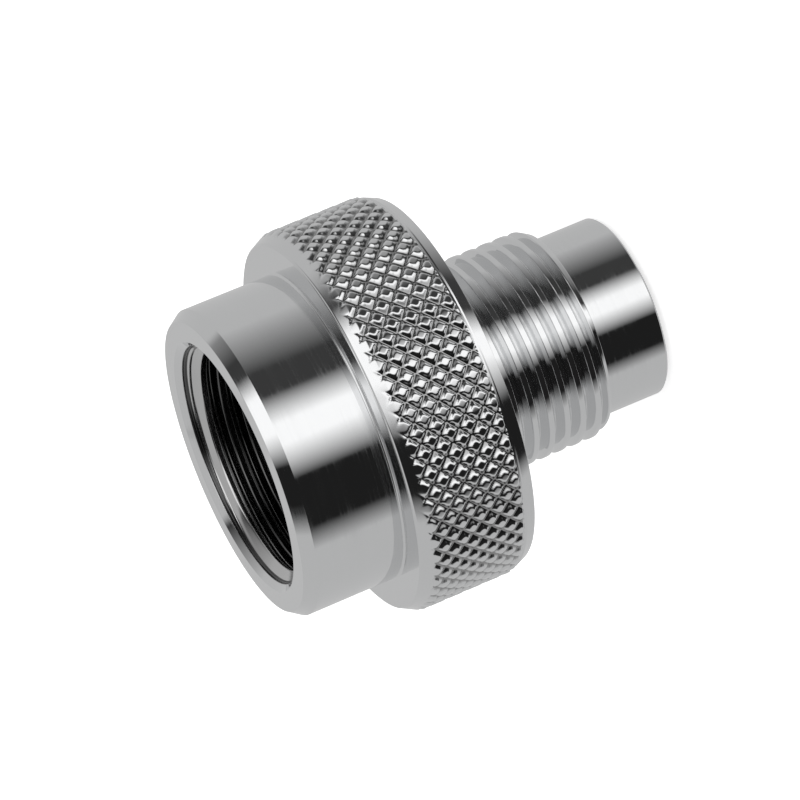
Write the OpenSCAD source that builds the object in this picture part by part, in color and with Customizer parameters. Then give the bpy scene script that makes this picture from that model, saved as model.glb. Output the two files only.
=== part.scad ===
// Fill adapter for a diving cylinder: one turned and plated body that carries a
// female thread in its mouth, a knurled grip, a male thread and a nose with a face seal.
// It stands on the seal at its nose end, with the female mouth up. Sizes are in mm.

/* [Overall] */
// Length of the metal body, from nose face to mouth
body_len = 45.3; // [43:0.1:60]
// Bore of the gas passage through the body
passage_d = 6; // [3:0.5:8]

/* [Collar] */
// Outside diameter of the collar
collar_d = 33.6; // [31:0.1:38]
// Length of the collar, from mouth to grip
collar_len = 11; // [6:0.05:14]
// Length of the chamfer on the collar's mouth edge
collar_bevel_len = 1.3; // [0.5:0.1:2.5]
// Depth of the chamfer on the collar's mouth edge
collar_bevel_depth = 0.9; // [0.3:0.1:1.2]
// Radius of the small cove between collar and grip
cove_r = 0.25; // [0.1:0.05:0.8]

/* [Grip] */
// Diameter over the tips of the knurl
grip_d = 41.8; // [40:0.1:48]
// Length of the grip
grip_len = 13; // [11:0.05:15]
// Depth of the chamfer on the grip's front edge
grip_front_depth = 0.9; // [0.7:0.05:1.4]
// Length of the chamfer on the grip's front edge
grip_front_len = 2.05; // [1.2:0.05:3]
// Depth of the grip's rear edge below the tips of the knurl
grip_rear_depth = 0.7; // [0.4:0.05:1.2]
// Length of the plain tapered rim behind the knurl
grip_rear_len = 1.15; // [0.6:0.05:1.5]
// Depth of the rim's front edge below the tips of the knurl
rim_depth = 0.23; // [0.15:0.01:0.28]
// Length over which the knurl runs out into the rim
runout_len = 0.55; // [0.4:0.05:1]

/* [Knurl] */
// Number of diamonds around the grip
knurl_count = 58; // [36:1:64]
// Length of one diamond along the axis
knurl_pitch = 2.11; // [1.6:0.01:3]
// Depth of the knurl's grooves
knurl_depth = 0.5; // [0.3:0.05:0.65]

/* [Female thread] */
// Major diameter of the female thread
female_d = 26; // [24:0.1:26.4]
// Pitch of the female thread
female_pitch = 2; // [1.5:0.25:2]
// Length of the female thread
female_len = 13; // [8:0.5:15]
// Diameter of the plain recess in the mouth
mouth_d = 26.7; // [26.6:0.1:29]
// Depth of the plain recess in the mouth
mouth_len = 0.9; // [0.5:0.1:2]
// Width of the chamfer on the inner edge of the mouth
mouth_bevel = 0.35; // [0.1:0.05:0.4]
// Diameter of the relief groove below the thread
socket_relief_d = 27; // [26.6:0.1:28]
// Length of the relief groove below the thread
socket_relief_len = 2; // [1:0.5:3]

/* [Male thread] */
// Major diameter of the male thread
male_d = 22.91; // [22:0.01:25]
// Pitch of the male thread
male_pitch = 1.814; // [1.5:0.001:2]
// Length of the male thread
male_len = 12; // [9:0.1:14]
// Diameter of the thread's end face, where its 30 degree chamfer starts
male_tip_d = 21.7; // [20.4:0.1:22]
// Diameter of the relief between the thread and the grip
male_relief_d = 20.1; // [18:0.1:20.2]

/* [Nose] */
// Outside diameter of the nose
nose_d = 19.7; // [19:0.1:20]
// Length of the nose, from its face to the thread
nose_len = 7.3; // [4:0.1:8]
// Width of the chamfer at the nose's end
nose_bevel = 0.25; // [0.1:0.05:0.5]

/* [Seal] */
// Inside diameter of the face seal
seal_inner_d = 12.37; // [11:0.01:12.6]
// Thickness of the face seal
seal_w = 2.62; // [2:0.01:2.7]
// How far the face seal stands out of the nose
seal_proud = 0.55; // [0.3:0.05:0.7]
// Clearance between the face seal and its groove
seal_gap = 0.03; // [0.02:0.01:0.1]

/* [Hidden] */
round_fn = 180;

// Heights of the main stations, with the seal's lowest line at zero
nose_z = seal_proud;
thread_z = nose_z + nose_len;
relief_z = thread_z + male_len;
mouth_z = nose_z + body_len;
collar_z = mouth_z - collar_len;
grip_z = collar_z - grip_len;
female_top_z = mouth_z - mouth_len;
female_z = female_top_z - female_len;
socket_z = female_z - socket_relief_len;

// How deep the knurl ring and the threads are rooted in what they are joined with
bite = 0.4;

// The male thread's form: flanks at 55 degrees, and rounded crests and roots
thread_r = male_d / 2;
thread_h = 0.640327 * male_pitch;
crest_drop = 0.073917 * male_pitch;
crest_u = 0.1217;
thread_form = [
  [0, 0],
  [crest_u, crest_drop],
  [0.5 - crest_u, thread_h - crest_drop],
  [0.5, thread_h],
  [0.5 + crest_u, thread_h - crest_drop],
  [1 - crest_u, crest_drop],
];
thread_sides = 44;

// The female thread's form, as the tap that cuts it: flanks at 60 degrees, with a flat
// of an eighth of the pitch at the major diameter
female_r = female_d / 2;
tap_depth = 0.45 * female_pitch;
tap_flank = 0.45 * tan(30);
tap_form = [
  [0, 0],
  [0.125, 0],
  [0.125 + tap_flank, tap_depth],
  [1 - tap_flank, tap_depth],
];
tap_sides = 30;
female_core_r = female_r - tap_depth - bite;

// The knurl's lattice, whose points are by turns a tip and a groove crossing.
// Its rows are set out from the grip's front face, and it runs out before the rim.
knurl_r = grip_d / 2;
knurl_root_r = knurl_r - knurl_depth;
knurl_sides = 2 * knurl_count;
knurl_run = grip_len - grip_rear_len;
knurl_edge = 0.3;
knurl_first = knurl_edge + 0.225;
knurl_rows = floor((knurl_run - runout_len - knurl_first) / (knurl_pitch / 2));

// The seal and its groove
seal_r = (seal_inner_d + seal_w) / 2;
groove_in_r = seal_inner_d / 2 - seal_gap;
groove_out_r = seal_inner_d / 2 + seal_w + seal_gap;
groove_depth = seal_w + seal_gap - seal_proud;
edge_break = 0.2;

// A point at a radius, an angle and a height
function polar(r, a, z) = [r * cos(a), r * sin(a), z];

// The four corners of a strip's cell as two triangles, split from a to c
function cell(a, b, c, d) = [[a, b, c], [a, c, d]];

// A turned solid from a closed profile of radius and height
module turned(profile) {
  rotate_extrude($fn = round_fn) polygon(profile);
}

// The blank before knurling and threading, a little large where a cut follows
module blank() {
  collar_r = collar_d / 2;
  turned([
    [0, nose_z],
    [thread_r, nose_z],
    [thread_r, thread_z - bite],
    [thread_r - thread_h - bite, thread_z - bite],
    [thread_r - thread_h - bite, grip_z - bite],
    [thread_r, grip_z - bite],
    [thread_r, grip_z],
    [knurl_r - grip_rear_depth, grip_z],
    [knurl_r - rim_depth, grip_z + grip_rear_len],
    [knurl_root_r - bite / 4, grip_z + grip_rear_len + runout_len],
    [knurl_root_r - bite / 4, collar_z],
    [collar_r + cove_r, collar_z],
    for (a = [75:-15:0])
      [collar_r + cove_r - cove_r * cos(a), collar_z + cove_r - cove_r * sin(a)],
    [collar_r, mouth_z - collar_bevel_len],
    [collar_r - collar_bevel_depth, mouth_z],
    [0, mouth_z],
  ]);
}

// The diamond knurl as a ring: rows run from the front chamfer to the rear rim,
// and each cell is split along its groove, so its two halves belong to two pyramids
module knurl_ring() {
  n = knurl_sides;
  step = 360 / n;
  inner_r = knurl_root_r - bite;
  // Distance of each row from the grip's front face, and its depth at tip and groove
  rows = [
    [knurl_edge, 0, knurl_depth],
    for (k = [0:knurl_rows]) [knurl_first + k * knurl_pitch / 2, 0, knurl_depth],
    [knurl_run - runout_len / 2, knurl_depth, knurl_depth],
    [knurl_run + bite, knurl_depth + bite / 2, knurl_depth + bite / 2],
  ];
  last = len(rows) - 1;
  outer = [
    for (j = [0:last])
      for (i = [0:n - 1])
        polar(knurl_r - rows[j][1 + (i + j) % 2], i * step, collar_z - rows[j][0])
  ];
  inner = [
    for (j = [0, last])
      for (i = [0:n - 1]) polar(inner_r, i * step, collar_z - rows[j][0])
  ];
  base = len(outer);
  faces = [
    for (j = [0:last - 1])
      for (i = [0:n - 1])
        let (a = j * n + i, b = j * n + (i + 1) % n, c = b + n, d = a + n)
          each (i + j) % 2 == 1 ? cell(a, b, c, d) : cell(b, c, d, a),
    for (i = [0:n - 1])
      let (k = (i + 1) % n)
        each concat(
          cell(i, base + i, base + k, k),
          cell(last * n + i, last * n + k, base + n + k, base + n + i),
          cell(base + i, base + n + i, base + n + k, base + k)
        ),
  ];
  polyhedron(points = concat(outer, inner), faces = faces, convexity = 4);
}

// A thread as a tube round the axis. Its outside follows the helix: the form gives shares
// of the pitch and depths below the outer radius, and the number of its points is even.
module helix_tube(form, outer_r, inner_r, pitch, n, start_z, turns) {
  p = len(form);
  m = turns * p;
  height = function(j, i) start_z + pitch * (floor(j / p) + form[j % p][0] + i / n);
  outer_at = function(j, i) polar(outer_r - form[j % p][1], i * 360 / n, height(j, i));
  extra = n * (m + 1);
  low = extra + p;
  high = low + n + 1;
  points = [
    for (j = [0:m])
      for (i = [0:n - 1]) outer_at(j, i),
    for (j = [m - p + 1:m]) outer_at(j, n),
    for (i = [0:n]) polar(inner_r, i * 360 / n, height(0, i)),
    for (i = [0:n]) polar(inner_r, i * 360 / n, height(m, i)),
  ];
  at = function(j, i) i < n ? j * n + i : (j + p <= m ? (j + p) * n : extra + j + p - m - 1);
  faces = [
    for (j = [0:m - 1])
      for (i = [0:n - 1]) each cell(at(j, i), at(j + 1, i), at(j + 1, i + 1), at(j, i + 1)),
    for (i = [0:n - 1])
      each concat(
        cell(at(0, i), at(0, i + 1), low + i + 1, low + i),
        cell(at(m, i + 1), at(m, i), high + i, high + i + 1)
      ),
    for (i = [1:n - 2]) each cell(low + i, low + i + 1, high + i + 1, high + i),
    [low, low + 1, low + n],
    [low + n, low + 1, high + 1],
    [low + n, high + 1, high],
    [low + n - 1, low + n, high],
    [low + n - 1, high, high + n - 1],
    [high + n - 1, high, high + n],
    for (j = [0:p - 1]) [at(j + 1, 0), at(j, 0), j < p / 2 ? low : low + n],
    [at(p / 2, 0), low, low + n],
    for (j = [m - p:m - 1]) [at(j, n), at(j + 1, n), j < m - p / 2 ? high : high + n],
    [at(m - p / 2, n), high + n, high],
  ];
  polyhedron(points = points, faces = faces, convexity = 8);
}

// The male thread. It runs past both ends, into the metal that the end chamfer and the
// relief are cut from.
module male_thread() {
  start_z = thread_z - 1.625 * male_pitch;
  turns = ceil((grip_z - start_z) / male_pitch);
  helix_tube(
    thread_form, thread_r, thread_r - thread_h - 2 * bite, male_pitch, thread_sides, start_z, turns
  );
}

// The tap that cuts the female thread, ended in the recess and in the relief groove
module tap() {
  start_z = female_z - 1.98 * female_pitch;
  turns = ceil((mouth_z - start_z) / female_pitch);
  inner_r = female_core_r - bite;
  intersection() {
    helix_tube(tap_form, female_r, inner_r, female_pitch, tap_sides, start_z, turns);
    turned([
      [inner_r - bite, female_z - bite],
      [female_r + bite, female_z - bite],
      [female_r + bite, female_top_z + bite],
      [inner_r - bite, female_top_z + bite],
    ]);
  }
}

// What is turned away after knurling: the chamfer on the grip's front edge
module front_cut() {
  slope = grip_front_depth / grip_front_len;
  over = 1;
  turned([
    [knurl_r - grip_front_depth - over * slope, collar_z + over],
    [knurl_r + over * slope, collar_z - grip_front_len - over],
    [knurl_r + 2 * over, collar_z - grip_front_len - over],
    [knurl_r + 2 * over, collar_z + over],
  ]);
}

// What is turned away after threading: the relief, the thread's end chamfer and the nose
module thread_cut() {
  nose_r = nose_d / 2;
  tip_r = male_tip_d / 2;
  relief_r = male_relief_d / 2;
  far = thread_r + 4 * bite;
  turned([
    [relief_r, relief_z],
    [far, relief_z + (far - relief_r) * tan(30) - bite],
    [far, grip_z],
    [relief_r, grip_z],
  ]);
  turned([
    [nose_r - nose_bevel - bite, nose_z - bite],
    [nose_r, nose_z + nose_bevel],
    [nose_r, thread_z],
    [tip_r, thread_z],
    [far, thread_z + (far - tip_r) * tan(60)],
    [far, nose_z - bite],
  ]);
}

// The socket behind the mouth: recess, core of the thread, relief, flat floor and gas passage
module socket() {
  mouth_r = mouth_d / 2;
  passage_r = passage_d / 2;
  relief_r = socket_relief_d / 2;
  turned([
    [0, nose_z - 1],
    [passage_r + edge_break + 1, nose_z - 1],
    [passage_r, nose_z + edge_break],
    [passage_r, socket_z - edge_break],
    [passage_r + edge_break, socket_z],
    [relief_r, socket_z],
    [relief_r, female_z],
    [female_core_r, female_z],
    [female_core_r, female_top_z],
    [mouth_r, female_top_z],
    [mouth_r, mouth_z - mouth_bevel],
    [mouth_r + mouth_bevel + 1, mouth_z + 1],
    [0, mouth_z + 1],
  ]);
}

// The groove in the nose face that holds the seal
module seal_groove() {
  turned([
    [groove_in_r, nose_z - 1],
    [groove_in_r, nose_z + groove_depth],
    [groove_out_r, nose_z + groove_depth],
    [groove_out_r, nose_z - 1],
  ]);
}

// The plated body, one piece from the mouth to the nose
module body() {
  color("silver")
    difference() {
      union() {
        blank();
        knurl_ring();
        male_thread();
      }
      front_cut();
      thread_cut();
      socket();
      tap();
      seal_groove();
    }
}

// The face seal in the nose
module nose_seal() {
  color([0.08, 0.08, 0.08])
    translate([0, 0, seal_w / 2])
      rotate_extrude($fn = 72)
        translate([seal_r, 0])
          circle(d = seal_w, $fn = 48);
}

body();
nose_seal();
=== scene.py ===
import math

import bpy
import numpy as np
from mathutils import Matrix, Vector


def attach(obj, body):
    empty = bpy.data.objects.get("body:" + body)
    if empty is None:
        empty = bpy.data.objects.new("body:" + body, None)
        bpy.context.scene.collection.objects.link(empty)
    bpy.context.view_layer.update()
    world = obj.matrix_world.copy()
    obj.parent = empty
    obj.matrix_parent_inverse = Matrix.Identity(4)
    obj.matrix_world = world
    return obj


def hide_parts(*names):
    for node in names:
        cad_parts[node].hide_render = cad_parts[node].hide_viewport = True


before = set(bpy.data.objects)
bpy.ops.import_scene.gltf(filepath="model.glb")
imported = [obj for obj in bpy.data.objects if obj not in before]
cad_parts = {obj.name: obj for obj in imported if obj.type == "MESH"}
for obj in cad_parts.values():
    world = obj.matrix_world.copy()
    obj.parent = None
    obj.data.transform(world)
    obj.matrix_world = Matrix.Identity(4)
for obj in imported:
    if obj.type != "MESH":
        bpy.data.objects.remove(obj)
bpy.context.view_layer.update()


# The turned body: a brass bar turned in the lathe to a collar with a bevelled mouth, bored
# for the socket and the gas passage, and turned down behind the grip to a plain nose with a
# ring-shaped groove in its face. It is bright plated all over. Sizes are in mm.
nose_z = 0.55
thread_z = 7.85
relief_z = 19.85
grip_z = 21.85
collar_z = 34.85
mouth_z = 45.85
socket_z = 29.95
nose_r = 9.85
nose_bevel = 0.25
core_r = 9.6
relief_r = 10.05
collar_r = 16.8
collar_bevel_in = 0.9
collar_bevel_down = 1.3
mouth_r = 13.7
recess_r = 13.1
recess_depth = 1.6
socket_relief_r = 13.5
passage_r = 3.0
passage_bevel = 0.2
seal_groove_in_r = 6.155
seal_groove_out_r = 8.835
seal_groove_depth = 2.1
nickel = (0.74, 0.745, 0.75)


def rounded_outline(corners, steps=5):
    """Round every corner of a closed outline, given as rows of radius, height and rounding.

    From a corner, one unit vector points to the corner before and one to the corner after, and
    they enclose an angle. A circle of the corner's rounding touches both lines at the distance
    rounding / tan(angle / 2), and its centre lies on the bisector at rounding / sin(angle / 2).
    The arc turns the first touching radius into the second in equal steps of angle."""
    table = np.array(corners, float)
    point, rounding = table[:, :2], table[:, 2:]
    before = np.roll(point, 1, 0) - point
    after = np.roll(point, -1, 0) - point
    before /= np.linalg.norm(before, axis=1, keepdims=True)
    after /= np.linalg.norm(after, axis=1, keepdims=True)
    half = np.arccos(np.clip((before * after).sum(1, keepdims=True), -1, 1)) / 2
    bisector = before + after
    bisector /= np.linalg.norm(bisector, axis=1, keepdims=True)
    centre = point + bisector * rounding / np.sin(half)
    first = point + before * rounding / np.tan(half) - centre
    last = point + after * rounding / np.tan(half) - centre
    turn = np.pi - 2 * half[:, None]
    share = np.linspace(0, 1, steps)[None, :, None]
    towards_last = np.sin(share * turn) * last[:, None]
    arc = (np.sin((1 - share) * turn) * first[:, None] + towards_last) / np.sin(turn)
    return (centre[:, None] + arc).reshape(-1, 2)


def round_grid(radius, height, columns):
    """Grid of points round the axis: radius r and height z at angle a are the point
    (r cos a, r sin a, z)."""
    angle = np.arange(columns) * 2 * np.pi / columns
    x, y = radius * np.cos(angle), radius * np.sin(angle)
    return np.stack(np.broadcast_arrays(x, y, height), -1)


def swept_round(outline, columns):
    """Carry an outline, given as rows of radius and height, round the axis."""
    return round_grid(outline[:, :1], outline[:, 1:], columns)


def closed_skin(name, points):
    """Make a piece from a grid of points in mm that closes on itself in both directions.

    Rows run up the outside and back down the inside, and columns run round the axis. The normal
    at a point is the step between its neighbours round the axis, crossed with the step between
    its neighbours along the row's path."""
    rows, columns = points.shape[:2]
    around = np.roll(points, -1, 1) - np.roll(points, 1, 1)
    along = np.roll(points, -1, 0) - np.roll(points, 1, 0)
    normal = np.cross(around, along)
    normal /= np.linalg.norm(normal, axis=2, keepdims=True)
    number = np.arange(rows * columns).reshape(rows, columns)
    right = np.roll(number, -1, 1)
    corners = np.stack([number, right, np.roll(right, -1, 0), np.roll(number, -1, 0)], -1)
    mesh = bpy.data.meshes.new(name)
    mesh.vertices.add(rows * columns)
    mesh.vertices.foreach_set("co", (points * 0.001).ravel())
    mesh.loops.add(corners.size)
    mesh.loops.foreach_set("vertex_index", corners.ravel())
    mesh.polygons.add(rows * columns)
    mesh.polygons.foreach_set("loop_start", np.arange(rows * columns) * 4)
    mesh.polygons.foreach_set("loop_total", np.full(rows * columns, 4))
    mesh.update(calc_edges=True)
    mesh.shade_smooth()
    mesh.normals_split_custom_set_from_vertices(normal.reshape(-1, 3))
    piece = bpy.data.objects.new(name, mesh)
    bpy.context.scene.collection.objects.link(piece)
    return piece


def turning_marks():
    """Node group with three outputs. Rings is the height of the fine rings that a turning tool
    leaves, by a point's radius and its height along the axis. Dulled is a mask of the patches
    that handling leaves, in which some rings are duller than others. Height is the point's
    height along the axis."""
    group = bpy.data.node_groups.new("turning_marks", "ShaderNodeTree")
    for label in ("Rings", "Dulled", "Height"):
        group.interface.new_socket(label, in_out="OUTPUT", socket_type="NodeSocketFloat")
    make, tie = group.nodes.new, group.links.new
    place = make("ShaderNodeTexCoord")
    split = make("ShaderNodeSeparateXYZ")
    tie(place.outputs["Object"], split.inputs[0])
    flat = make("ShaderNodeCombineXYZ")
    tie(split.outputs["X"], flat.inputs["X"])
    tie(split.outputs["Y"], flat.inputs["Y"])
    radius = make("ShaderNodeVectorMath")
    radius.operation = "LENGTH"
    tie(flat.outputs[0], radius.inputs[0])
    ring = make("ShaderNodeCombineXYZ")
    tie(radius.outputs["Value"], ring.inputs["X"])
    tie(split.outputs["Z"], ring.inputs["Y"])
    lines = make("ShaderNodeTexNoise")
    lines.noise_dimensions = "2D"
    lines.inputs["Scale"].default_value = 5200
    lines.inputs["Detail"].default_value = 3
    tie(ring.outputs[0], lines.inputs["Vector"])
    patches = make("ShaderNodeTexNoise")
    patches.inputs["Scale"].default_value = 240
    patches.inputs["Detail"].default_value = 4
    tie(place.outputs["Object"], patches.inputs["Vector"])
    both = make("ShaderNodeMath")
    both.operation = "MULTIPLY"
    tie(patches.outputs["Fac"], both.inputs[0])
    tie(lines.outputs["Fac"], both.inputs[1])
    dulled = make("ShaderNodeMapRange")
    dulled.inputs["From Min"].default_value = 0.16
    dulled.inputs["From Max"].default_value = 0.38
    tie(both.outputs[0], dulled.inputs["Value"])
    out = make("NodeGroupOutput")
    tie(lines.outputs["Fac"], out.inputs["Rings"])
    tie(dulled.outputs["Result"], out.inputs["Dulled"])
    tie(split.outputs["Z"], out.inputs["Height"])
    return group


marks = turning_marks()


def bright_plate(name, colour, smooth, dull, ring_height):
    """Material: bright nickel plate. Its roughness goes from smooth to dull by the handled
    patches, and the turning rings bend its normal by ring_height metres."""
    material = bpy.data.materials.new(name)
    material.use_nodes = True
    nodes, tie = material.node_tree.nodes, material.node_tree.links.new
    shader = nodes["Principled BSDF"]
    shader.inputs["Base Color"].default_value = (*colour, 1)
    shader.inputs["Metallic"].default_value = 1
    turned = nodes.new("ShaderNodeGroup")
    turned.name = "turned"
    turned.node_tree = marks
    gloss = nodes.new("ShaderNodeMapRange")
    gloss.inputs["To Min"].default_value = smooth
    gloss.inputs["To Max"].default_value = dull
    tie(turned.outputs["Dulled"], gloss.inputs["Value"])
    tie(gloss.outputs["Result"], shader.inputs["Roughness"])
    bump = nodes.new("ShaderNodeBump")
    bump.inputs["Distance"].default_value = ring_height
    tie(turned.outputs["Rings"], bump.inputs["Height"])
    tie(bump.outputs["Normal"], shader.inputs["Normal"])
    return material


body_outline = rounded_outline(
    [
        [passage_r, nose_z + passage_bevel, 0.05],
        [passage_r + passage_bevel, nose_z, 0.03],
        [seal_groove_in_r, nose_z, 0.08],
        [seal_groove_in_r, nose_z + seal_groove_depth, 0.05],
        [seal_groove_out_r, nose_z + seal_groove_depth, 0.05],
        [seal_groove_out_r, nose_z, 0.08],
        [nose_r - nose_bevel, nose_z, 0.08],
        [nose_r, nose_z + nose_bevel, 0.08],
        [nose_r, thread_z + 0.1, 0.05],
        [core_r, thread_z + 0.3, 0.05],
        [core_r, relief_z + 0.1, 0.05],
        [relief_r, relief_z + 0.4, 0.1],
        [relief_r, grip_z + 1, 0.1],
        [collar_r, grip_z + 3, 0.1],
        [collar_r, mouth_z - collar_bevel_down, 0.06],
        [collar_r - collar_bevel_in, mouth_z, 0.1],
        [mouth_r, mouth_z, 0.05],
        [recess_r, mouth_z - 0.6, 0.05],
        [recess_r, mouth_z - recess_depth, 0.1],
        [socket_relief_r, mouth_z - recess_depth - 0.4, 0.1],
        [socket_relief_r, socket_z, 0.2],
        [passage_r + passage_bevel, socket_z, 0.06],
        [passage_r, socket_z - passage_bevel, 0.06],
    ]
)
turned_body = closed_skin("turned_body", swept_round(body_outline, 464))
turned_body.data.materials.append(bright_plate("bright_plate", nickel, 0.02, 0.16, 0.0000004))
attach(turned_body, "root")
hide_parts("body")


# The grip: the widest part of the same bar, turned with a long front bevel and a tapered
# rear rim, then rolled with a diamond knurl of 58 diamonds that runs out before the rim.
knurl_tip_r = 20.9
knurl_steepness = 1.12
knurl_cut = 0.42
ridge_rounding = 0.3
top_rounding = 0.05
groove_rounding = 0.45
knurl_halves = 116
knurl_half_len = 1.055
knurl_first = 0.525
knurl_steps = 8
front_edge_r = 20.0
bevel_rise = 0.9
bevel_len = 1.7
fall_start = 11.35
fall_slope = 1.6
rim_front = 11.85
rim_edge_r = 20.67
rim_wall_slope = 0.75
rear_edge_r = 20.2
cove_r = 0.25
grip_bore_r = 15.0
grip_columns = knurl_halves * knurl_steps


def lower_of(a, b, width):
    """The lower of two heights, with their crossing rounded over a given width: half of their
    sum, less half of the root of their difference squared plus the width squared."""
    return (a + b - np.sqrt((a - b) ** 2 + width**2)) / 2


def higher_of(a, b, width):
    """The higher of two heights, with their crossing rounded over a given width: half of their
    sum, plus half of the root of their difference squared plus the width squared."""
    return (a + b + np.sqrt((a - b) ** 2 + width**2)) / 2


def diamond_height(along, across):
    """Height of the knurl at its distances from the two nearest grooves: the lower of the two,
    cut off flat where the rolls left the turned bar, over round groove bottoms."""
    cut = lower_of(lower_of(along, across, ridge_rounding), knurl_cut, top_rounding)
    return higher_of(cut, 0.0, groove_rounding)


def knurled_radius(angle, back):
    """Radius of the knurl at an angle and a distance behind the grip's front face.

    In steps of half a diamond round (u) and along (v), the grooves follow the lines where u + v
    or u - v is an odd number. The radius is the tip's, less what the height of the surface over
    the grooves falls short of the height at a tip, times the steepness."""
    u = angle * knurl_halves / (2 * np.pi)
    v = (back - knurl_first) / knurl_half_len + 1
    along = np.abs(np.mod(u + v, 2) - 1)
    across = np.abs(np.mod(u - v, 2) - 1)
    short_of_tip = diamond_height(1.0, 1.0) - diamond_height(along, across)
    return knurl_tip_r - knurl_steepness * short_of_tip


def turned_to(radius, back):
    """Hold a radius within the turned outline of the bar at a distance behind the front face:
    under the front bevel and under the cone where the knurl runs out, and over the run-out's
    wall, which rises to the rim."""
    bevel = front_edge_r + bevel_rise * back / bevel_len
    fall = knurl_tip_r - fall_slope * (back - fall_start)
    wall = rim_edge_r - rim_wall_slope * (rim_front - back)
    radius = higher_of(lower_of(radius, fall, 0.04), wall, 0.04)
    return lower_of(radius, bevel, 0.05)


def smooth_share(tree, measure, start, end):
    """In a node tree, a share that goes smoothly from 0 to 1, by 3 t squared less 2 t cubed, as
    a measured value goes from start to end."""
    share = tree.nodes.new("ShaderNodeMapRange")
    share.interpolation_type = "SMOOTHSTEP"
    share.inputs["From Min"].default_value = start
    share.inputs["From Max"].default_value = end
    tree.links.new(measure, share.inputs["Value"])
    return share.outputs["Result"]


def mixed(tree, share, first, second):
    """In a node tree, the first colour where the share is 0, the second where it is 1, and the
    straight mix of both between. A colour is a node's output or four numbers."""
    mix = tree.nodes.new("ShaderNodeMix")
    mix.data_type = "RGBA"
    tree.links.new(share, mix.inputs["Factor"])
    for end, colour in (("A", first), ("B", second)):
        if isinstance(colour, bpy.types.NodeSocket):
            tree.links.new(colour, mix.inputs[end])
        else:
            mix.inputs[end].default_value = colour
    return mix.outputs["Result"]


def paint_shade(material, measure, start, end, deep):
    """Paint shade into a plate: its colour goes smoothly from its own to a deep grey, as a
    measured value goes from start to end."""
    tree = material.node_tree
    base = tree.nodes["Principled BSDF"].inputs["Base Color"]
    share = smooth_share(tree, measure, start, end)
    tree.links.new(mixed(tree, share, tuple(base.default_value), (deep, deep, deep, 1)), base)


grip_angle = np.arange(grip_columns) * 2 * np.pi / grip_columns
row_back = knurl_first + np.arange(-3, 86) * knurl_half_len / knurl_steps
row_back = np.append(rim_front, row_back[row_back < rim_front - 0.05][::-1])[:, None]
row_radius = turned_to(knurled_radius(grip_angle, row_back), row_back)
row_radius[0] = rim_edge_r
groove_depth = turned_to(knurl_tip_r, row_back) - row_radius
groove_depth[0] = 0
rear_rows = rounded_outline(
    [
        [9.8, grip_z, 0.02],
        [rear_edge_r, grip_z, 0.08],
        [rim_edge_r, collar_z - rim_front, 0.04],
        [grip_bore_r, collar_z - 5, 0.1],
    ],
    3,
)[2:8]
front_rows = rounded_outline(
    [
        [grip_bore_r, grip_z + 5, 0.1],
        [front_edge_r, collar_z, 0.08],
        [grip_bore_r, collar_z, 0.02],
    ],
    3,
)[3:6]
cove = np.linspace(0, 1, 6)[:, None] * np.pi / 2
cove_rows = np.hstack(
    [collar_r + cove_r * (1 - np.sin(cove)), collar_z + cove_r * (1 - np.cos(cove))]
)
inside_rows = np.array([[collar_r - 0.3, collar_z + 0.2], [grip_bore_r, grip_z + 4]])
grip_points = np.concatenate(
    [
        swept_round(rear_rows, grip_columns),
        round_grid(row_radius, collar_z - row_back, grip_columns),
        swept_round(np.concatenate([front_rows, cove_rows, inside_rows]), grip_columns),
    ]
)
knurled_grip = closed_skin("knurled_grip", grip_points)
depths = np.zeros(grip_points.shape[:2])
depths[len(rear_rows) : len(rear_rows) + len(row_back)] = groove_depth
depth_kept = knurled_grip.data.attributes.new("groove_depth", "FLOAT", "POINT")
depth_kept.data.foreach_set("value", depths.ravel())
knurled_plate = bright_plate("knurled_plate", nickel, 0.06, 0.12, 0.0000001)
# Painted shade: the knurl's grooves are painted darker grey the deeper they are, for the shade
# that falls in them.
groove = knurled_plate.node_tree.nodes.new("ShaderNodeAttribute")
groove.attribute_name = "groove_depth"
paint_shade(knurled_plate, groove.outputs["Fac"], 0.12, 0.32, 0.36)
knurled_grip.data.materials.append(knurled_plate)
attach(knurled_grip, "root")
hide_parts("body")


# The male thread: a right-hand parallel pipe thread of 1.814 mm pitch, cut on the lathe with
# flanks at 55 degrees, bevelled where it starts at the nose and ended by the relief.
male_r = 11.455
male_pitch = 1.814
male_tip_r = 10.85
male_start = thread_z - 1.625 * male_pitch
male_flank = 1.921
male_crest_half = 0.17
male_root_depth = 1.16
male_end = relief_z + 0.6
thread_columns = 288
thread_angle = np.arange(thread_columns) * 2 * np.pi / thread_columns


def from_crest(angle, height, crest_height, pitch):
    """Pitches from the nearest crest of a helix, whose height grows by one pitch in a turn."""
    turns = (height - crest_height) / pitch - angle / (2 * np.pi)
    return np.abs(np.mod(turns + 0.5, 1) - 0.5)


def male_radius(angle, height):
    """Radius of the male thread at an angle and a height.

    The depth grows along the flank with the distance from the crest, and is held between crest
    and root with rounded corners. The bevel at the tip rises at 30 degrees, and the last turn
    falls to the relief."""
    phase = from_crest(angle, height, male_start, male_pitch)
    depth = male_pitch * male_flank * (phase - male_crest_half)
    depth = higher_of(lower_of(depth, male_root_depth, 0.14), 0.0, 0.06)
    bevel = male_tip_r + (height - thread_z) * math.tan(math.radians(30))
    ending = relief_r + (relief_z + 0.45 - height) * 1.7
    return lower_of(lower_of(male_r - depth, bevel, 0.05), ending, 0.05)


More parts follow.
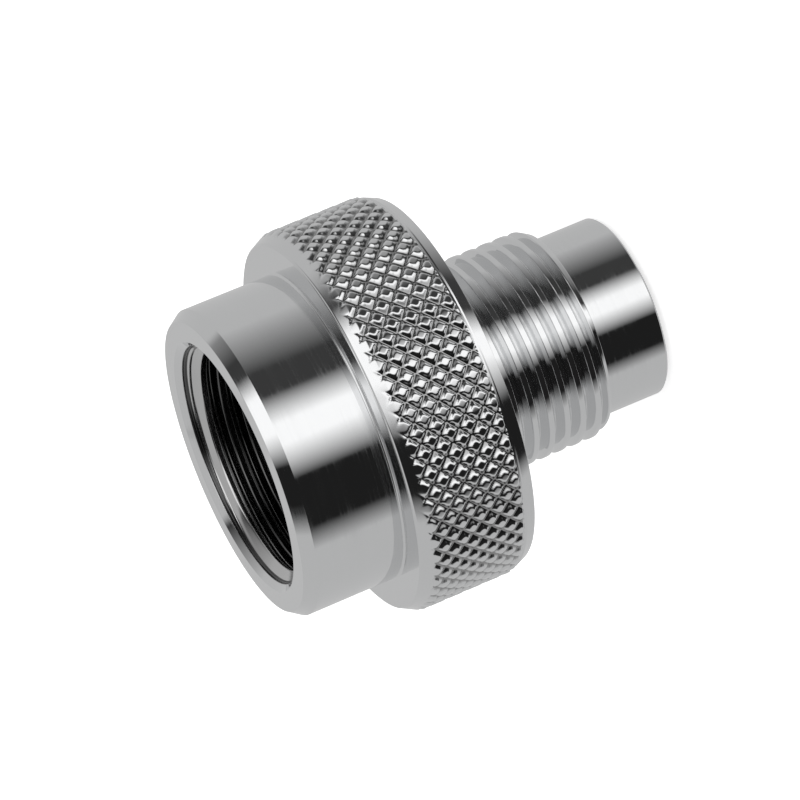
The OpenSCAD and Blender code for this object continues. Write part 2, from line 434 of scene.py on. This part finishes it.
male_height = np.linspace(thread_z + 0.1, male_end, 200)[:, None]
male_grid = round_grid(male_radius(thread_angle, male_height), male_height, thread_columns)
male_tip = np.array(
    [
        [male_tip_r - 0.15, thread_z],
        [male_tip_r - 0.06, thread_z],
        [male_tip_r + 0.02, thread_z + 0.04],
    ]
)
male_inside = np.array([[9.0, relief_z + 0.5], [9.0, thread_z]])
male_tip_rows = swept_round(male_tip, thread_columns)
male_inside_rows = swept_round(male_inside, thread_columns)
male_points = np.concatenate([male_tip_rows, male_grid, male_inside_rows])
male_thread = closed_skin("male_thread", male_points)
male_thread.data.materials.append(bright_plate("threaded_plate", nickel, 0.03, 0.08, 0.0000001))
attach(male_thread, "root")
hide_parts("body")


# The socket's thread: a right-hand metric thread, M26 of 2 mm pitch, cut in the bore with
# flanks at 60 degrees. Its plate is painted a darker grey than the nickel and goes to near
# black deeper in the bore, as painted shade; the recess at its mouth is painted near black,
# as painted shadow.
socket_pitch = 2.0
socket_flank = 1.732
socket_crest_r = 12.1
socket_crest_half = 0.355
socket_crest_z = 43.115
socket_depth = 0.9
socket_low = 31.95
socket_high = 44.95
entry_len = 1.05
recess_face_r = 13.09


def socket_radius(angle, height):
    """Radius of the socket's wall at an angle and a height.

    From the flat of the crest, the wall draws back along the flank to the major radius, with
    rounded corners. A cone at 45 degrees opens the first turn."""
    from_middle = from_crest(angle, height, socket_crest_z, socket_pitch) * socket_pitch
    drawn_back = socket_flank * (from_middle - socket_crest_half)
    turned = higher_of(lower_of(drawn_back, socket_depth, 0.2), 0.0, 0.08)
    entry = lower_of(height - (socket_high - entry_len), socket_depth, 0.05)
    return socket_crest_r + higher_of(turned, entry, 0.05)


socket_height = np.linspace(socket_high, socket_low, 180)[:, None]
socket_rows = socket_radius(thread_angle, socket_height)
socket_grid = round_grid(socket_rows, socket_height, thread_columns)
socket_outside = np.array(
    [
        [13.7, socket_low],
        [14.0, socket_low + 0.3],
        [14.0, mouth_z - 0.9],
        [13.4, mouth_z - 0.66],
        [recess_face_r, mouth_z - 0.63],
        [recess_face_r, mouth_z - 0.7],
        [recess_face_r, socket_high + 0.02],
    ]
)
socket_points = np.concatenate([swept_round(socket_outside, thread_columns), socket_grid])
socket_thread = closed_skin("socket_thread", socket_points)
bore_plate_with_painted_shade = bright_plate("bore_plate_with_painted_shade", (0.6, 0.6, 0.6), 0.1, 0.18, 0.000001)
bore_height = bore_plate_with_painted_shade.node_tree.nodes["turned"].outputs["Height"]
# Painted shade: the bore's plate is a darker grey than the nickel, and below 42.3 mm it goes to
# near black.
paint_shade(bore_plate_with_painted_shade, bore_height, 0.0435, 0.0423, 0.13)
# Painted shadow: the recess wall and floor at the bore's mouth get a near-black plate for the
# shadow that falls in them.
recess_painted_shadow = bright_plate("recess_painted_shadow", (0.1, 0.1, 0.1), 0.1, 0.18, 0.0000004)
socket_thread.data.materials.append(bore_plate_with_painted_shade)
socket_thread.data.materials.append(recess_painted_shadow)
recess_rows = slice(4, 10)
plate_or_painted_shadow = np.zeros(socket_points.shape[:2], int)
plate_or_painted_shadow[recess_rows] = 1
socket_thread.data.polygons.foreach_set("material_index", plate_or_painted_shadow.ravel())
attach(socket_thread, "root")
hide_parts("body")


# The face seal: a moulded ring of black nitrile rubber, pressed into the groove of the nose
# face, where it stands proud to seal on the bottom of the cylinder valve's throat.
seal_ring_r = 7.495
seal_wire_r = 1.31
seal_wall_gap = 0.02
seal_floor_gap = 0.004
seal_flash = 0.018


def seal_section(angle):
    """Points of the ring's section at angles round its wire, as radius and height: a circle,
    with the thin flash of the mould on its two sides, a bell curve of the angle from them."""
    from_parting = np.mod(angle + np.pi / 2, np.pi) - np.pi / 2
    flash = seal_flash * np.exp(-(from_parting**2) / 0.004)
    radius = seal_ring_r + (seal_wire_r - seal_wall_gap + flash) * np.cos(angle)
    height = seal_wire_r + (seal_wire_r - seal_floor_gap) * np.sin(angle)
    return np.stack([radius, height], -1)


seal_outline = seal_section(np.linspace(0, 2 * np.pi, 49)[:-1])
face_seal = closed_skin("face_seal", swept_round(seal_outline, 192))
rubber = bpy.data.materials.new("nitrile_rubber")
rubber.use_nodes = True
rubber_nodes, rubber_tie = rubber.node_tree.nodes, rubber.node_tree.links.new
rubber_shader = rubber_nodes["Principled BSDF"]
rubber_shader.inputs["Roughness"].default_value = 0.55
rubber_place = rubber_nodes.new("ShaderNodeTexCoord")
rubber_grain = rubber_nodes.new("ShaderNodeTexNoise")
rubber_grain.inputs["Scale"].default_value = 2600
rubber_grain.inputs["Detail"].default_value = 4
rubber_tie(rubber_place.outputs["Object"], rubber_grain.inputs["Vector"])
rubber_tone = rubber_nodes.new("ShaderNodeValToRGB")
rubber_tone.color_ramp.elements[0].color = (0.018, 0.018, 0.019, 1)
rubber_tone.color_ramp.elements[1].color = (0.034, 0.034, 0.035, 1)
rubber_tie(rubber_grain.outputs["Fac"], rubber_tone.inputs["Fac"])
rubber_tie(rubber_tone.outputs["Color"], rubber_shader.inputs["Base Color"])
rubber_bump = rubber_nodes.new("ShaderNodeBump")
rubber_bump.inputs["Distance"].default_value = 0.00001
rubber_tie(rubber_grain.outputs["Fac"], rubber_bump.inputs["Height"])
rubber_tie(rubber_bump.outputs["Normal"], rubber_shader.inputs["Normal"])
face_seal.data.materials.append(rubber)
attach(face_seal, "root")
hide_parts("nose_seal")


# The stage: a wide pale sheet under the adapter, with a soft lamp overhead. Neither shows in
# the plate, which mirrors only the tent of bright walls and dark flags around it.
bpy.ops.mesh.primitive_plane_add(size=6, location=(0, 0, 0))
floor = bpy.context.object
floor.name = "floor"
floor.visible_glossy = False
paper = bpy.data.materials.new("pale_paper")
paper.use_nodes = True
paper_finish = {
    "Base Color": (0.9, 0.9, 0.9, 1),
    "Roughness": 0.9,
    "Specular IOR Level": 0.1,
    "Emission Color": (1, 1, 1, 1),
    "Emission Strength": 0.72,
}
for socket, value in paper_finish.items():
    paper.node_tree.nodes["Principled BSDF"].inputs[socket].default_value = value
floor.data.materials.append(paper)

overhead = bpy.data.lights.new("overhead", "AREA")
overhead.shape = "DISK"
overhead.size = 1.6
overhead.energy = 7
overhead_lamp = bpy.data.objects.new("overhead", overhead)
overhead_lamp.location = (0.1, -0.1, 1.6)
overhead_lamp.visible_glossy = False
bpy.context.scene.collection.objects.link(overhead_lamp)


# The tent: bright walls and roof, a lamp beside the camera, and a dark flag on each side of the
# lamp. They lean, so their edges stand elsewhere at each of three heights of the mirrored
# direction. The camera itself sees a white backdrop over the sheet's far edge.
wall_grey = 174
left_flag_grey = 34
lamp_grey = 250
right_flag_grey = 58
low_edges = (-95, -81, -36, 5, 26, 47, 74, 125)
level_edges = (-80, -61, -24, 1, 16, 37, 56, 100)
high_edges = (-85, -55, -18, 14, 50, 70, 84, 135)
tent_strength = 2
plate_share = 0.75
camera_turn = 1.4


def tent_light(grey):
    """Colour of the tent for a grey on a screen's scale: its share of 255, raised to the power
    2.2 and divided by the share that the plate gives back and by the tent's strength."""
    light = (grey / 255) ** 2.2 / plate_share / tent_strength
    return light, light, light, 1


def tent_ramp(nodes, edges):
    """A colour ramp over the heading, from -180 degrees at 0 to 180 degrees at 1. The edges are
    in degrees from the camera's side: the left wall's end, then the start and end of the left
    flag, the lamp and the right flag, then the right wall's start. Between two of them, one
    grey blends straight into the next."""
    panels = np.repeat([left_flag_grey, lamp_grey, right_flag_grey], 2)
    ramp = nodes.new("ShaderNodeValToRGB")
    ramp.color_ramp.interpolation = "LINEAR"
    elements = ramp.color_ramp.elements
    for heading in edges[1:-1]:
        elements.new(heading / 360 + 0.5)
    for element, heading, grey in zip(elements, edges, (wall_grey, *panels, wall_grey)):
        element.position = heading / 360 + 0.5
        element.color = tent_light(grey)
    return ramp


world = bpy.data.worlds.new("tent")
bpy.context.scene.world = world
world.use_nodes = True
tent = world.node_tree
make_tent, tie_tent = tent.nodes.new, tent.links.new
toward = make_tent("ShaderNodeTexCoord")
part = make_tent("ShaderNodeSeparateXYZ")
tie_tent(toward.outputs["Generated"], part.inputs[0])
front = make_tent("ShaderNodeMath")
front.operation = "MULTIPLY"
front.inputs[1].default_value = -1
tie_tent(part.outputs["Y"], front.inputs[0])
heading_angle = make_tent("ShaderNodeMath")
heading_angle.operation = "ARCTAN2"
tie_tent(part.outputs["X"], heading_angle.inputs[0])
tie_tent(front.outputs[0], heading_angle.inputs[1])
heading_share = make_tent("ShaderNodeMath")
heading_share.operation = "MULTIPLY_ADD"
heading_share.inputs[1].default_value = 1 / (2 * math.pi)
heading_share.inputs[2].default_value = 0.5 + camera_turn / 360
tie_tent(heading_angle.outputs[0], heading_share.inputs[0])
low_wall, level_wall, high_wall = [
    tent_ramp(tent.nodes, edges) for edges in (low_edges, level_edges, high_edges)
]
for wall in (low_wall, level_wall, high_wall):
    tie_tent(heading_share.outputs[0], wall.inputs["Fac"])
tent_colour = low_wall.outputs["Color"]
for wall, lean, start, end in ((level_wall, 0, -0.8, -0.5), (high_wall, 0.2, 0.6, 0.68)):
    mirrored_height = make_tent("ShaderNodeVectorMath")
    mirrored_height.operation = "DOT_PRODUCT"
    mirrored_height.inputs[1].default_value = (lean, 0, 1)
    tie_tent(toward.outputs["Generated"], mirrored_height.inputs[0])
    rise = smooth_share(tent, mirrored_height.outputs["Value"], start, end)
    tent_colour = mixed(tent, rise, tent_colour, wall.outputs["Color"])
overhead_share = smooth_share(tent, part.outputs["Z"], 0.89, 0.93)
tent_colour = mixed(tent, overhead_share, tent_colour, tent_light(wall_grey))
seen_by_camera = make_tent("ShaderNodeLightPath").outputs["Is Camera Ray"]
tent_colour = mixed(tent, seen_by_camera, tent_colour, (0.5, 0.5, 0.5, 1))
tie_tent(tent_colour, tent.nodes["Background"].inputs["Color"])
tent.nodes["Background"].inputs["Strength"].default_value = tent_strength


# The camera: a long lens half a metre away, 16 degrees above the mouth's plane and rolled so
# that the adapter leans as it does in the photograph. Distances are in collar radii.
picture_px = 800
focal_px = 4799.0
mouth_px = (232.939, 467.55)
mouth_away = 29.065
photo_axes = Matrix(
    (
        (-0.38397, -0.92335, -0.00037),
        (-0.25443, 0.10542, 0.96133),
        (-0.8876, 0.36922, -0.27541),
    )
)
camera_axes = Matrix.Rotation(math.radians(-camera_turn), 3, "Z") @ photo_axes
mouth_beside, mouth_below = [(pixel - picture_px / 2) / focal_px for pixel in mouth_px]
mouth_seen = Vector((mouth_beside, mouth_below, 1)) * mouth_away
spot = Vector((0, 0, mouth_z)) - camera_axes @ mouth_seen * collar_r
right = camera_axes @ Vector((1, 0, 0))
up = camera_axes @ Vector((0, -1, 0))
backwards = camera_axes @ Vector((0, 0, -1))
lens = bpy.data.cameras.new("camera")
lens.sensor_width = 36
lens.lens = focal_px * lens.sensor_width / picture_px
lens.clip_start = 0.01
camera = bpy.data.objects.new("camera", lens)
camera.matrix_world = Matrix(
    [(right[i], up[i], backwards[i], spot[i] * 0.001) for i in range(3)] + [(0, 0, 0, 1)]
)
bpy.context.scene.collection.objects.link(camera)
bpy.context.scene.camera = camera
bpy.context.scene.view_settings.view_transform = "Standard"
